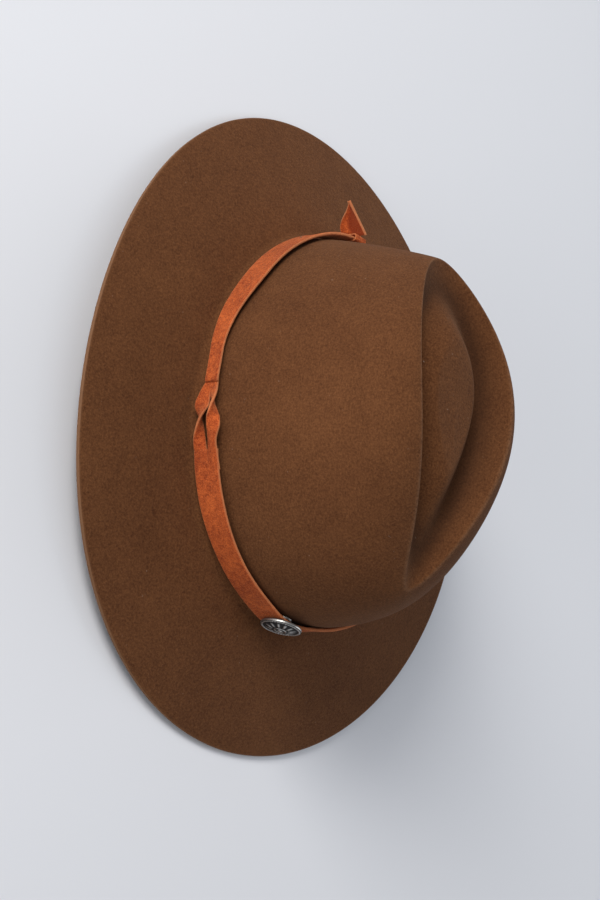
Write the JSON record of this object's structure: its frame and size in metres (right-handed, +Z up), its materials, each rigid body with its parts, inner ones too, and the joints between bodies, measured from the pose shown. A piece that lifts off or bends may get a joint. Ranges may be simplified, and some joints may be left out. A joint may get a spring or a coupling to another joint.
{
  "type": "cowboy hat",
  "caption": "Western hat in brown felt with a creased teardrop crown, a wide brim, a suede band with a looped slit and a silver concho, and a lined, leather-banded inside.",
  "frame": {"origin": "on the surface the brim rests on, under the centre of the brim's outline", "axes": "+Z up through the crown, -Y to the front of the hat, +X to the wearer's left"},
  "size_m": [0.3166, 0.352, 0.1331],
  "materials": {
    "felt": "dark brown brushed wool felt",
    "suede": "rust-brown napped suede",
    "sweatband_leather": "smooth brown roan leather, slight sheen",
    "tape": "woven cotton tape",
    "reed_plastic": "clear-white extruded plastic",
    "satin": "bronze satin weave",
    "piping": "dark satin piping",
    "thread": "waxed sewing thread",
    "ribbon": "ribbed grosgrain ribbon",
    "silver": "antique silver plate with darkened recesses",
    "screw_metal": "plain nickel-plated screw"
  },
  "bodies": {
    "hat": {"felt_body": "felt", "lining_side": "satin", "lining_tip": "satin", "lining_piping": "piping", "sweatband_leather": "sweatband_leather", "sweatband_tape": "tape", "sweatband_reed": "reed_plastic", "sweatband_stitches": "thread", "sweatband_back_seam": "thread", "sweatband_bow": "ribbon", "band_front_strap": "suede", "band_rear_strap": "suede", "band_keeper": "suede", "band_tacks": "thread", "concho_screw": "screw_metal"},
    "concho": {"concho_disc": "silver"},
    "tail": {"band_tail": "suede"}
  },
  "joints": [
    {"name": "concho_spin", "type": "hinge", "parent": "hat", "child": "concho", "pos_m": [-0.01762, -0.10416, 0.03934], "axis": [-0.207, -0.9783, 0], "continuous": true},
    {"name": "tail_swing", "type": "hinge", "parent": "hat", "child": "tail", "pos_m": [0.00466, 0.11194, 0.04004], "axis": [0, 0, 1], "range_deg": [-35, 35]}
  ]
}
